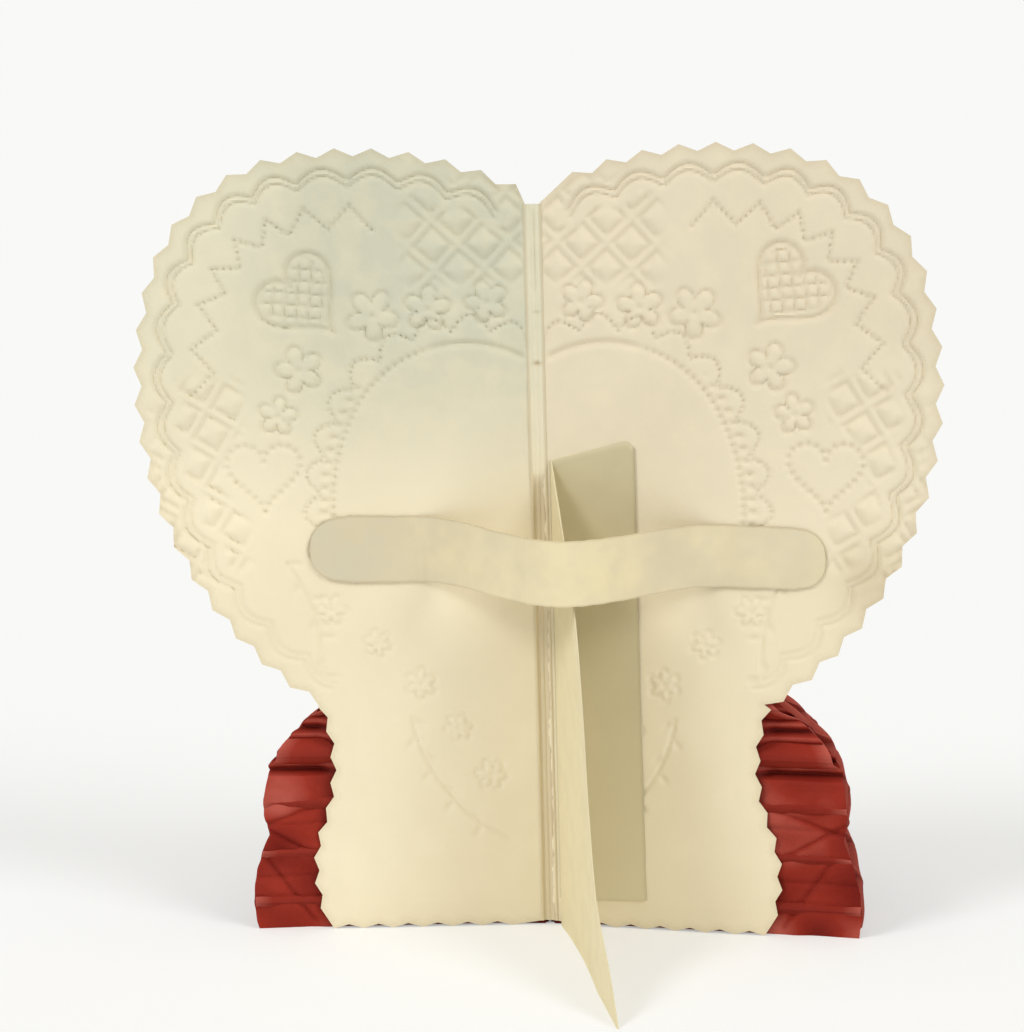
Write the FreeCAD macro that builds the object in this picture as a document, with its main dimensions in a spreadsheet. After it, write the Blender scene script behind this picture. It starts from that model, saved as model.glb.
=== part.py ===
import FreeCAD, Part
import math
import os

doc = FreeCAD.newDocument("GreetingCard")
V = FreeCAD.Vector

# Driving sizes, millimetres and degrees
sizes = doc.addObject("Spreadsheet::Sheet", "Sizes")
SIZES = [
    ("stock", 0.7),             # thickness of the card stock
    ("groove", 0.3),            # depth of the embossed lines
    ("spineX", -0.5),           # place of the spine, so that the card's width is centred
    ("spineHalf", 2.2),         # half the width of the flat spine strip
    ("spineTall", 208.5),       # height of the notch between the lobes
    ("foldAngle", 7.0),         # how far each wing is bent back
    ("capRadius", 112.0),       # top of a wing, the first of its three tangent arcs
    ("capTurn", -37.0),
    ("shoulderRadius", 51.0),   # shoulder of a wing, the second arc
    ("shoulderTurn", -66.0),
    ("flankRadius", 110.0),     # flank of a wing down to the waist, the third arc
    ("flankTurn", -72.0),
    ("stemRadius", 45.0),       # hollow side of the stem
    ("stemTurn", 44.0),
    ("footRadius", 40.0),       # round side of the foot
    ("footTurn", -44.0),
    ("rightWidth", 0.985),      # width of the right wing against the arcs
    ("leftWidth", 0.976),       # width of the left wing, cut a little narrower
    ("rightTooth", 12.0),       # way along the edge to the first tooth of the right wing
    ("leftTooth", 4.0),         # the same on the left wing
    ("toothPitch", 10.6),       # distance between two teeth
    ("toothDeep", 2.3),         # depth of the pinked edge
    ("paper", 0.6),             # thickness of the strap and the stand
    ("strapLow", 101.5),        # lower edge of the strap
    ("strapWide", 19.0),        # width of the strap
    ("strapRise", 35.0),        # how far the strap's arch stands off the wings
    ("strapTop", 8.5),          # place of the top of the arch, right of the spine
    ("strapSpan", 44.0),        # half the length of the arch
    ("tabFoot", 8.0),           # lower edge of the glued tab
    ("legLine", 3.4),           # line that the leg folds out on, right of the spine
    ("legYaw", 16.0),           # angle of the leg to the right of straight back
    ("legReach", 91.3),         # reach of the foot behind the fold
    ("legTall", 136.0),         # height of the top of the leg
    ("tissueTall", 83.0),       # height of the tissue block
    ("leafAngle", 6.93),        # angle between two tissue leaves
    ("cellHalf", 7.3),          # half height of a tissue cell
    ("leafWall", 0.9),          # thickness given to the tissue leaves
]
for row, (alias, value) in enumerate(SIZES, start=1):
    sizes.set("A%d" % row, alias)
    sizes.set("B%d" % row, str(value))
    sizes.setAlias("B%d" % row, alias)
doc.recompute()


def size(alias):
    return float(sizes.get(alias))


def sketch(name, wires, rotation=None, base=None):
    item = doc.addObject("Sketcher::SketchObject", name)
    item.Placement = FreeCAD.Placement(base or V(), rotation or FreeCAD.Rotation())
    for wire in wires:
        ring = list(wire) + [wire[0]]
        for (x1, y1), (x2, y2) in zip(ring, ring[1:]):
            item.addGeometry(Part.LineSegment(V(x1, y1, 0), V(x2, y2, 0)), False)
    return item


def extrude(name, base, expression, reverse=False):
    item = doc.addObject("Part::Extrusion", name)
    item.Base = base
    item.DirMode = "Normal"
    item.Solid = True
    item.Reversed = reverse
    item.FaceMakerClass = "Part::FaceMakerBullseye"
    item.setExpression("LengthFwd", expression)
    return item


def boolean(kind, name, base, tool):
    item = doc.addObject("Part::" + kind, name)
    item.Base = base
    item.Tool = tool
    return item


def fuse(name, shapes):
    item = doc.addObject("Part::MultiFuse", name)
    item.Shapes = shapes
    return item


UPRIGHT = FreeCAD.Rotation(V(1, 0, 0), 90)

# Routes along tangent arcs, each arc a radius and a turn in degrees, clockwise negative
def arc_route(start, heading, arcs, step):
    x, y = start
    angle = math.radians(heading)
    points = [(x, y)]
    for radius, turn in arcs:
        count = max(1, round(abs(radius * math.radians(turn)) / step))
        part = math.radians(turn) / count
        chord = 2 * radius * math.sin(abs(part) / 2)
        for k in range(count):
            x += chord * math.cos(angle + part / 2)
            y += chord * math.sin(angle + part / 2)
            angle += part
            points.append((x, y))
    return points


def named_arcs(*names):
    return [(size(name + "Radius"), size(name + "Turn")) for name in names]


def resample(points, step):
    lengths = [0.0]
    for (x1, y1), (x2, y2) in zip(points, points[1:]):
        lengths.append(lengths[-1] + math.hypot(x2 - x1, y2 - y1))
    count = max(2, round(lengths[-1] / step))
    result = []
    index = 0
    for k in range(count + 1):
        target = lengths[-1] * k / count
        while index < len(points) - 2 and lengths[index + 1] < target:
            index += 1
        part = (target - lengths[index]) / (lengths[index + 1] - lengths[index])
        (x1, y1), (x2, y2) = points[index], points[index + 1]
        result.append((x1 + (x2 - x1) * part, y1 + (y2 - y1) * part))
    return result


def shifted(points, offsets):
    result = []
    for k, (x, y) in enumerate(points):
        x1, y1 = points[max(k - 1, 0)]
        x2, y2 = points[min(k + 1, len(points) - 1)]
        length = math.hypot(x2 - x1, y2 - y1)
        result.append((x + (y2 - y1) / length * offsets[k], y - (x2 - x1) / length * offsets[k]))
    return result


def pinked(points, pitch, depth):
    path = resample(points, pitch / 2)
    return shifted(path, [depth * (k % 2) for k in range(len(path))])


def from_hinge(points):
    return [(x - size("spineHalf"), y) for x, y in points]


# Heart card: each wing from the notch over the lobe, down the stem and along the floor
LOBE_START = (1.0, 211.9)
LOBE_HEADING = 27.9
STEM_START = (66.5, 66.0)
STEM_HEADING = -112.0
STEM_PITCH = 7.8
FLOOR_PITCH = 8.8
FLOOR_DEEP = 1.2
FLOOR_CORNER = 64.0


def lobe_route(skip=0.0):
    fine = resample(arc_route(LOBE_START, LOBE_HEADING, named_arcs("cap", "shoulder", "flank"), 2.0), 1.0)
    return fine[round(skip):]


def stem_route():
    route = arc_route(STEM_START, STEM_HEADING, named_arcs("stem", "foot"), 2.0)
    return [(x, y) for x, y in route if y > 5.0]


def wing_edge(side):
    floor = [(FLOOR_CORNER, 0.0), (FLOOR_CORNER - 6 * FLOOR_PITCH, 0.0)]
    edge = pinked(lobe_route(size(side + "Tooth")), size("toothPitch"), size("toothDeep"))
    edge += pinked(stem_route(), STEM_PITCH, size("toothDeep") * 0.7)
    edge += pinked(floor, FLOOR_PITCH, FLOOR_DEEP)
    edge = [(x * size(side + "Width"), y) for x, y in edge]
    hinge = size("spineHalf")
    return from_hinge([(hinge, size("spineTall"))] + edge + [(hinge, FLOOR_DEEP)])


sheets = {}
for side in ("right", "left"):
    outline = sketch(side.title() + "Outline", [wing_edge(side)], UPRIGHT)
    sheets[side] = extrude(side.title() + "Sheet", outline, "Sizes.stock")


# Embossed lines, the same on both wings
def ribbon(points, width):
    half = [width / 2] * len(points)
    other = [-width / 2] * len(points)
    return shifted(points, half) + shifted(points, other)[::-1]


def scalloped(points, pitch, parts, inset, depth):
    path = resample(points, pitch / parts)
    offsets = []
    for k in range(len(path)):
        offsets.append(inset + depth * (1 - abs(math.sin(math.pi * k / parts))))
    return shifted(path, offsets)


def heart(x, y, wide, tall, turn, count=10):
    points = []
    for k in range(count):
        a = 2 * math.pi * (k + 0.5) / count
        px = 16 * math.sin(a) ** 3 / 32 * wide
        py = (13 * math.cos(a) - 5 * math.cos(2 * a) - 2 * math.cos(3 * a) - math.cos(4 * a)) / 29 * tall
        c = math.cos(math.radians(turn))
        s = math.sin(math.radians(turn))
        points.append((x + px * c - py * s, y + px * s + py * c))
    return points


def pit(x, y, half):
    return [(x + half, y), (x, y + half), (x - half, y), (x, y - half)]


def petal(x, y, length, wide, turn):
    points = []
    for along, across in ((0.26, 0.0), (0.6, 0.5), (1.0, 0.0), (0.6, -0.5)):
        c = math.cos(math.radians(turn))
        s = math.sin(math.radians(turn))
        px = along * length
        py = across * wide
        points.append((x + px * c - py * s, y + px * s + py * c))
    return points


def flower(x, y, radius, petals=5, turn=90):
    return [petal(x, y, radius, radius * 0.8, turn + 360.0 * k / petals) for k in range(petals)]


def trellis(x, y, across, rows, pitch, half):
    pits = []
    for row in range(rows):
        count = across - row % 2
        for k in range(count):
            pits.append(pit(x + (k - (count - 1) / 2) * pitch, y - row * pitch / 2, half))
    return pits


SCALLOP = 15.5
LOBE_LINE = [(x * size("leftWidth"), y) for x, y in lobe_route(6.0)]
lines = [
    ribbon(scalloped(LOBE_LINE, SCALLOP, 4, 5.6, 2.8), 1.0),
    ribbon(scalloped(LOBE_LINE, SCALLOP, 3, 9.6, 2.6), 0.8),
]
# Zigzag of dots under the scallops, round the shoulder only
turns = resample(LOBE_LINE, SCALLOP / 2)
zigzag = shifted(turns, [15.0 + 6.0 * (k % 2) for k in range(len(turns))])[5:17]
lines += [pit(x, y, 0.75) for x, y in resample(zigzag, 3.4)]
# Border of the plain centre panel above the strap, with lobes outside it
PANEL = arc_route((4.0, 165.5), 28.0, [(35.0, -90.0), (60.0, -42.0)], 6.0)
lines.append(ribbon(PANEL, 0.9))
lines.append(ribbon(scalloped(PANEL, 11.0, 3, -5.0, 3.0), 0.9))
# Latticed heart, its tip toward the spine
lines.append(heart(67.0, 185.5, 20.0, 20.0, -45, 14))
lines.append(heart(67.0, 185.5, 17.4, 17.4, -45, 14))
lines += trellis(66.5, 187.4, 2, 3, 4.6, 0.9)
# Trellis beside the notch and at the side
lines += trellis(23.0, 203.0, 3, 3, 7.6, 2.9)
lines += trellis(93.0, 156.0, 2, 3, 7.6, 2.9)
# Dotted heart at the side, and flowers
dotted = heart(79.0, 133.0, 16.0, 15.0, 0, 24)
lines += [pit(x, y, 0.8) for x, y in resample(dotted + dotted[:1], 3.6)[:-1]]
for x, y, radius in ((44.0, 184.0, 4.2), (70.0, 165.0, 4.2), (76.0, 151.0, 4.0)):
    lines += flower(x, y, radius)
lines_sketch = sketch("WingLines", [from_hinge(wire) for wire in lines], UPRIGHT)
lines_sketch.setExpression("Placement.Base.y", "-Sizes.stock + Sizes.groove")
lines_tool = extrude("WingLinesTool", lines_sketch, "Sizes.groove * 2")

wings = {}
for side, sheet in sheets.items():
    wing = boolean("Cut", side.title() + "Wing", sheet, lines_tool)
    wing.Placement = FreeCAD.Placement(V(0, 0, 0), FreeCAD.Rotation(V(0, 0, 1), -1))
    wing.setExpression("Placement.Base.x", "Sizes.spineHalf")
    wing.setExpression("Placement.Rotation.Angle", "-Sizes.foldAngle")
    wings[side] = wing
left_wing = doc.addObject("Part::Mirroring", "LeftWingTurned")
left_wing.Source = wings["left"]
left_wing.Base = V(0, 0, 0)
left_wing.Normal = V(1, 0, 0)
strip = doc.addObject("Part::Box", "SpineStrip")
strip.setExpression("Length", "Sizes.spineHalf * 2")
strip.setExpression("Width", "Sizes.stock")
strip.setExpression("Height", "Sizes.spineTall - %s" % FLOOR_DEEP)
strip.setExpression("Placement.Base.x", "-Sizes.spineHalf")
strip.setExpression("Placement.Base.y", "-Sizes.stock")
strip.setExpression("Placement.Base.z", str(FLOOR_DEEP))
creases = []
for side, sign in (("Left", "-1"), ("Right", "1")):
    crease = doc.addObject("Part::Box", side + "Crease")
    crease.setExpression("Length", "0.5")
    crease.setExpression("Width", "Sizes.groove * 2")
    crease.setExpression("Height", "Sizes.spineTall + 10")
    crease.setExpression("Placement.Base.x", "%s * (Sizes.spineHalf - 0.9) - 0.25" % sign)
    crease.setExpression("Placement.Base.y", "-Sizes.stock - Sizes.groove")
    creases.append(crease)
crease_pair = fuse("CreasePair", creases)
folded = fuse("FoldedSheet", [left_wing, strip, wings["right"]])
heart_card = boolean("Cut", "HeartCard", folded, crease_pair)
heart_card.Label = "heart_card"

# Back strap: plan of the band, then its rounded ends
fold = math.radians(size("foldAngle"))
STRAP_LEFT = -65.0
STRAP_LEFT_SHOULDER = -54.0
STRAP_RIGHT = 81.0
STRAP_RIGHT_SHOULDER = 73.0
STRAP_TAPER = 1.0
BAND_OVER = 1.0
ARCH_PARTS = 18
ARCH_GAP = 0.15


def behind_wing(along, gap, side):
    x = size("spineHalf") + (along - size("spineHalf")) * math.cos(fold) - gap * math.sin(fold)
    y = -(along - size("spineHalf")) * math.sin(fold) - gap * math.cos(fold)
    return (side * x, y)


def spline(points, per=6):
    result = []
    for k in range(len(points) - 1):
        p0 = points[max(k - 1, 0)]
        p1, p2 = points[k], points[k + 1]
        p3 = points[min(k + 2, len(points) - 1)]
        for n in range(per):
            t = n / per
            pair = []
            for a, b, c, d in zip(p0, p1, p2, p3):
                pair.append(0.5 * (2 * b + (c - a) * t + (2 * a - 5 * b + 4 * c - d) * t * t
                                   + (3 * b - a - 3 * c + d) * t ** 3))
            result.append(tuple(pair))
    result.append(points[-1])
    return result


def arch_point(x):
    wing = (abs(x) - size("spineHalf")) * math.tan(fold) + (on_card + ARCH_GAP) / math.cos(fold)
    swell = math.cos(math.pi * (x - size("strapTop")) / (2 * size("strapSpan"))) ** 2
    return (x, -wing - size("strapRise") * swell)


on_card = size("stock")
arch = []
for k in range(ARCH_PARTS + 1):
    arch.append(arch_point(size("strapTop") + size("strapSpan") * (2 * k / ARCH_PARTS - 1)))
near = [behind_wing(BAND_OVER - STRAP_LEFT, on_card, -1)] + arch
near.append(behind_wing(BAND_OVER + STRAP_RIGHT, on_card, 1))
far = shifted(near, [size("paper")] * len(near))
strap_plan = sketch("StrapPlan", [near + far[::-1]])
strap_plan.setExpression("Placement.Base.z", "Sizes.strapLow")
strap_band = extrude("StrapBand", strap_plan, "Sizes.strapWide")


def rounded_tab(x_end, x_shoulder, low, high, count=8):
    middle = (low + high) / 2
    points = []
    for k in range(count + 1):
        a = math.pi * (k / count - 0.5)
        x = x_shoulder + (x_end - x_shoulder) * math.cos(a)
        points.append((x, middle + (high - low) / 2 * math.sin(a)))
    return points


low = size("strapLow")
high = low + size("strapWide")
right_end = rounded_tab(STRAP_RIGHT, STRAP_RIGHT_SHOULDER, low + STRAP_TAPER, high - STRAP_TAPER)
left_end = rounded_tab(STRAP_LEFT, STRAP_LEFT_SHOULDER, low + STRAP_TAPER, high - STRAP_TAPER)
strap_side = sketch("StrapSide", [
    [(STRAP_LEFT_SHOULDER, low - BAND_OVER), (STRAP_RIGHT_SHOULDER, low - BAND_OVER)] + right_end
    + [(STRAP_RIGHT_SHOULDER, high + BAND_OVER), (STRAP_LEFT_SHOULDER, high + BAND_OVER)] + left_end[::-1]
], UPRIGHT, V(0, 5, 0))
strap_window = extrude("StrapWindow", strap_side, "60")
back_strap = boolean("Common", "BackStrap", strap_band, strap_window)
back_strap.Label = "back_strap"

# Easel stand: glued tab on the right wing and the leg that folds out of it
TAB_RIGHT = 28.9
TAB_NARROW = 27.7
TAB_PEAK = 142.4
LEG_GAP = 0.3
leg_line = size("legLine")
tab_outline = sketch("TabOutline", [from_hinge([
    (leg_line, size("tabFoot")), (TAB_RIGHT, size("tabFoot") + 0.6), (TAB_NARROW, 120.0),
    (TAB_NARROW, TAB_PEAK - 2.0), (TAB_NARROW - 1.5, TAB_PEAK), (leg_line, size("legTall")),
])], UPRIGHT)
tab_outline.setExpression("Placement.Base.y", "-Sizes.stock")
tab = extrude("Tab", tab_outline, "Sizes.paper")
tab.Placement = FreeCAD.Placement(V(0, 0, 0), FreeCAD.Rotation(V(0, 0, 1), -1))
tab.setExpression("Placement.Base.x", "Sizes.spineHalf")
tab.setExpression("Placement.Rotation.Angle", "-Sizes.foldAngle")
reach = size("legReach")
leg_back = spline([
    (reach, 0.0), (reach - 12.0, 11.5), (reach - 32.0, 26.0), (reach - 44.5, 49.0), (reach - 50.5, 76.0),
    (reach - 59.5, 102.0), (reach - 90.0, size("legTall") - 1.5),
], 3)
leg_outline = sketch("LegOutline", [[(0.0, 0.6), (3.0, 0.0)] + leg_back + [(0.0, size("legTall"))]], UPRIGHT)
leg = extrude("Leg", leg_outline, "Sizes.paper")
leg.Placement = FreeCAD.Placement(V(leg_line, 0, 0), FreeCAD.Rotation(V(0, 0, 1), -1))
leg.setExpression("Placement.Base.y", "-Sizes.stock - %s" % LEG_GAP)
leg.setExpression("Placement.Rotation.Angle", "-90 + Sizes.legYaw")
easel_stand = fuse("EaselStand", [tab, leg])
easel_stand.Label = "easel_stand"

# Tissue base: rings on three arcs, cut to the front of each wing, then cells between the leaves
BASE_ARC = (44.0, 38.0)
RIM_ARC = (25.0, 60.0)
DOME_ARC = (80.0, 58.0)
profile = arc_route((88.1, 0.0), 80.0, [BASE_ARC], 10.0)
profile += arc_route(profile[-1], 70.0, [RIM_ARC, DOME_ARC], 10.0)[1:]
RINGS = [(level, radius) for radius, level in profile]
leaf = size("leafAngle")
sides = round(360.0 / leaf)
tall = size("tissueTall") / RINGS[-1][0]


def ring_points(level, radius):
    turns = [math.radians(90.0 + 360.0 * k / sides) for k in range(sides)]
    return [V(radius * math.cos(a), radius * math.sin(a), level) for a in turns]


def flat_face(corners):
    return Part.Face(Part.makePolygon(list(corners) + [corners[0]]))


def closed_solid(faces):
    solid = Part.Solid(Part.Shell(faces))
    if solid.Volume < 0:
        solid.reverse()
    return solid


def faceted_bell(rings):
    faces = [flat_face(rings[0]), flat_face(rings[-1])]
    for lower, upper in zip(rings, rings[1:]):
        for k in range(sides):
            n = (k + 1) % sides
            faces.append(flat_face([lower[k], lower[n], upper[n], upper[k]]))
    return closed_solid(faces)


bell = doc.addObject("Part::Feature", "TissueBell")
bell.Shape = faceted_bell([ring_points(level * tall, radius) for level, radius in RINGS])
far_x = 120.0               # beyond the tissue on every side
far_y = -(far_x - size("spineHalf")) * math.tan(fold)
blocks = {}
for side, sign in (("Left", -1), ("Right", 1)):
    room_plan = sketch(side + "Plan", [[
        (0.0, 0.0), (sign * size("spineHalf"), 0.0), (sign * far_x, far_y), (sign * far_x, far_x),
        (0.0, far_x),
    ]])
    room = extrude(side + "Room", room_plan, "Sizes.tissueTall + 5")
    blocks[side] = boolean("Common", side + "Block", bell, room)


def ring_radius(level):
    for (z1, r1), (z2, r2) in zip(RINGS, RINGS[1:]):
        if level <= z2 * tall:
            return r1 + (r2 - r1) * (level - z1 * tall) / ((z2 - z1) * tall)
    return RINGS[-1][1]


def cell(turn, level, radius):
    half_angle = math.radians(leaf) - size("leafWall") / radius
    half_tall = size("cellHalf") - size("leafWall") * 0.6
    a = math.radians(turn)
    tip = V(0, 0, level)
    side = radius / math.cos(half_angle)
    left = V(side * math.cos(a + half_angle), side * math.sin(a + half_angle), level)
    right = V(side * math.cos(a - half_angle), side * math.sin(a - half_angle), level)
    top = V(radius * math.cos(a), radius * math.sin(a), level + half_tall)
    bottom = V(radius * math.cos(a), radius * math.sin(a), level - half_tall)
    triangles = ((tip, top, left), (tip, left, bottom), (tip, bottom, right), (tip, right, top),
                 (top, right, bottom), (top, bottom, left))
    return closed_solid([flat_face(triangle) for triangle in triangles])


FIRST_CELL = (1.08, 2.08)   # height of the lowest cell in even and odd columns, in half cells
columns = int(round((180.0 + 2 * size("foldAngle")) / leaf)) - 1
cells = []
for column in range(columns):
    turn = 90.0 + (column - (columns - 1) / 2.0) * leaf
    level = size("cellHalf") * FIRST_CELL[column % 2]
    while level + size("cellHalf") < size("tissueTall") - 2.0:
        radius = max(ring_radius(level - size("cellHalf")), ring_radius(level)) + 2.5
        cells.append(cell(turn, level, radius))
        level += 2 * size("cellHalf")
cell_tool = doc.addObject("Part::Feature", "TissueCells")
cell_tool.Shape = Part.makeCompound(cells)
PIECES = [heart_card, back_strap, easel_stand]
for side, block in blocks.items():
    tissue = boolean("Cut", side + "Tissue", block, cell_tool)
    tissue.Label = "tissue_" + side.lower()
    PIECES.append(tissue)
for item in PIECES:
    item.setExpression("Placement.Base.x", "Sizes.spineX")
doc.recompute()
for item in doc.Objects:
    if "Invalid" in item.State or "Error" in item.State:
        raise RuntimeError("%s did not recompute: %s" % (item.Name, item.State))
os.makedirs("parts", exist_ok=True)
for item in PIECES:
    shape = item.Shape
    if shape.isNull() or not shape.isValid():
        raise RuntimeError("%s has no valid shape" % item.Label)
    shape.exportStep("parts/%s.step" % item.Label)
    box = shape.BoundBox
    print(item.Label, len(shape.Solids), "solid", round(shape.Volume, 1), "mm3",
          [round(n, 1) for n in (box.XMin, box.XMax, box.YMin, box.YMax, box.ZMin, box.ZMax)])
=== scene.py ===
import math

import bpy
import numpy as np
from mathutils import Matrix, Vector


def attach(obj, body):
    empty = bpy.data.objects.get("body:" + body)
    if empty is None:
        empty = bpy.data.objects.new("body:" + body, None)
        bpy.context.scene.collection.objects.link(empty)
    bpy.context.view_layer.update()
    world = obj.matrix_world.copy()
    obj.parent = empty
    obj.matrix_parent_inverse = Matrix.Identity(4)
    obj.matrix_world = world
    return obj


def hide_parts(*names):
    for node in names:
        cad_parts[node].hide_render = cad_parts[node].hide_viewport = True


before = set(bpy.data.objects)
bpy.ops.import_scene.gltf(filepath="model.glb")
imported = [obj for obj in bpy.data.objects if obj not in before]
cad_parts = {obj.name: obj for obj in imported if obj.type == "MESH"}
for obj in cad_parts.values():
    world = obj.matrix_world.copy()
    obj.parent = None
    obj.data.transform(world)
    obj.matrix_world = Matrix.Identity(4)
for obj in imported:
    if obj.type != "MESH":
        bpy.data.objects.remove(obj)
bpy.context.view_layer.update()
MM = 0.001
SPINE_X = -0.5


# Helpers
def deselect():
    if bpy.context.object and bpy.context.object.mode != "OBJECT":
        bpy.ops.object.mode_set(mode="OBJECT")
    bpy.ops.object.select_all(action="DESELECT")


def activate(obj):
    deselect()
    obj.select_set(True)
    bpy.context.view_layer.objects.active = obj


def addGrid(name, columns, rows):
    deselect()
    bpy.ops.mesh.primitive_grid_add(x_subdivisions=columns, y_subdivisions=rows, size=1)
    obj = bpy.context.object
    obj.name = name
    return obj


def readPoints(obj):
    points = np.empty(len(obj.data.vertices) * 3)
    obj.data.vertices.foreach_get("co", points)
    return points.reshape(-1, 3)


def writePoints(obj, points):
    obj.data.vertices.foreach_set("co", np.ascontiguousarray(points, dtype=float).ravel())
    obj.data.update()


def placePoints(obj, x, y, z):
    writePoints(obj, np.stack([x + SPINE_X, y, z], axis=1) * MM)


def writeAttribute(obj, name, values):
    layer = obj.data.attributes.new(name, "FLOAT", "POINT")
    layer.data.foreach_set("value", np.ascontiguousarray(values, dtype=float))


def applyModifiers(obj):
    activate(obj)
    for modifier in list(obj.modifiers):
        bpy.ops.object.modifier_apply(modifier=modifier.name)


def thicken(obj, thickness, offset=0.0):
    solidify = obj.modifiers.new("Thickness", "SOLIDIFY")
    solidify.thickness = thickness
    solidify.offset = offset
    applyModifiers(obj)


def editAll(obj, operator, **settings):
    activate(obj)
    bpy.ops.object.mode_set(mode="EDIT")
    bpy.ops.mesh.select_all(action="SELECT")
    operator(**settings)
    bpy.ops.object.mode_set(mode="OBJECT")


def smooth(obj, angle):
    activate(obj)
    bpy.ops.object.shade_smooth_by_angle(angle=math.radians(angle))


def triangleCount(obj):
    obj.data.calc_loop_triangles()
    return len(obj.data.loop_triangles)


def ridge(values, width):
    return np.exp(-(values / width) ** 2)


def step(values, low, high):
    t = np.clip((values - low) / (high - low), 0, 1)
    return t * t * (3 - 2 * t)


def resample(points, spacing):
    points = np.asarray(points, dtype=float)
    lengths = np.concatenate([[0], np.cumsum(np.hypot(*np.diff(points, axis=0).T))])
    count = max(2, int(round(lengths[-1] / spacing)) + 1)
    targets = np.linspace(0, lengths[-1], count)
    return np.stack([np.interp(targets, lengths, points[:, k]) for k in (0, 1)], axis=1)


def curved(points, per):
    points = np.asarray(points, dtype=float)
    result = []
    for k in range(len(points) - 1):
        p0 = points[max(k - 1, 0)]
        p1, p2 = points[k], points[k + 1]
        p3 = points[min(k + 2, len(points) - 1)]
        for n in range(per):
            t = n / per
            result.append(0.5 * (2 * p1 + (p2 - p0) * t + (2 * p0 - 5 * p1 + 4 * p2 - p3) * t * t
                                 + (3 * p1 - p0 - 3 * p2 + p3) * t ** 3))
    result.append(points[-1])
    return np.array(result)


def shifted(points, offsets):
    points = np.asarray(points, dtype=float)
    along = np.gradient(points, axis=0)
    along /= np.hypot(along[:, 0], along[:, 1])[:, None]
    return points + np.stack([along[:, 1], -along[:, 0]], axis=1) * np.asarray(offsets)[:, None]


def arcRoute(start, heading, arcs, spacing):
    x, y = start
    angle = math.radians(heading)
    points = [(x, y)]
    for radius, turn in arcs:
        count = max(1, round(abs(radius * math.radians(turn)) / spacing))
        part = math.radians(turn) / count
        chord = 2 * radius * math.sin(abs(part) / 2)
        for k in range(count):
            x += chord * math.cos(angle + part / 2)
            y += chord * math.sin(angle + part / 2)
            angle += part
            points.append((x, y))
    return np.array(points)


def noise1(values, seed, period):
    source = np.random.default_rng(seed).uniform(-1, 1, 512)
    place = np.asarray(values) / period + 200
    low = np.floor(place).astype(int) % 512
    t = place - np.floor(place)
    t = t * t * (3 - 2 * t)
    return source[low] * (1 - t) + source[(low + 1) % 512] * t


def noise2(x, y, seed, period):
    source = np.random.default_rng(seed).uniform(-1, 1, (128, 128))
    px, py = x / period + 40, y / period + 40
    ix, iy = np.floor(px).astype(int), np.floor(py).astype(int)
    tx, ty = px - ix, py - iy
    tx, ty = tx * tx * (3 - 2 * tx), ty * ty * (3 - 2 * ty)
    a = source[ix % 128, iy % 128] * (1 - tx) + source[(ix + 1) % 128, iy % 128] * tx
    b = source[ix % 128, (iy + 1) % 128] * (1 - tx) + source[(ix + 1) % 128, (iy + 1) % 128] * tx
    return a * (1 - ty) + b * ty


# Materials
def newMaterial(name):
    material = bpy.data.materials.new(name)
    material.use_nodes = True
    material.node_tree.nodes.clear()
    return material, material.node_tree


def addNode(tree, kind, values=(), **settings):
    node = tree.nodes.new(kind)
    for key, value in settings.items():
        setattr(node, key, value)
    for key, value in dict(values).items():
        node.inputs[key].default_value = value
    return node


def noiseNode(tree, coordinates, scale, detail):
    node = addNode(tree, "ShaderNodeTexNoise", {"Scale": scale, "Detail": detail, "Roughness": 0.55})
    tree.links.new(coordinates, node.inputs["Vector"])
    return node.outputs["Fac"]


def rangeNode(tree, value, low, high, out0=0.0, out1=1.0):
    node = addNode(tree, "ShaderNodeMapRange", {1: low, 2: high, 3: out0, 4: out1}, clamp=True)
    tree.links.new(value, node.inputs[0])
    return node.outputs[0]


def mathNode(tree, operation, a, b):
    node = addNode(tree, "ShaderNodeMath", operation=operation)
    for socket, value in zip(node.inputs, (a, b)):
        if isinstance(value, (int, float)):
            socket.default_value = value
        else:
            tree.links.new(value, socket)
    return node.outputs[0]


def mixNode(tree, factor, a, b):
    node = addNode(tree, "ShaderNodeMix", data_type="RGBA")
    for socket, value in ((node.inputs[0], factor), (node.inputs[6], a), (node.inputs[7], b)):
        if isinstance(value, (int, float)):
            socket.default_value = value
        elif isinstance(value, tuple):
            socket.default_value = (*value, 1.0)
        else:
            tree.links.new(value, socket)
    return node.outputs[2]


def linear(r, g, b):
    return tuple((c / 255 / 12.92 if c <= 10 else ((c / 255 + 0.055) / 1.055) ** 2.4) for c in (r, g, b))


GRAIN = {
    "broad": 14.0, "middle": 120.0, "fine": 1400.0, "fineShare": 0.35, "middleShare": 0.65,
    "ior": 1.42, "specular": 0.3, "roughness": (0.6, 0.8), "blotchAndShadeTone": 0.1, "wearAndShadeTone": 0.8,
    "bump": 0.35, "depth": 0.0003, "crumpleDepth": 0.0012,
}


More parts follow.
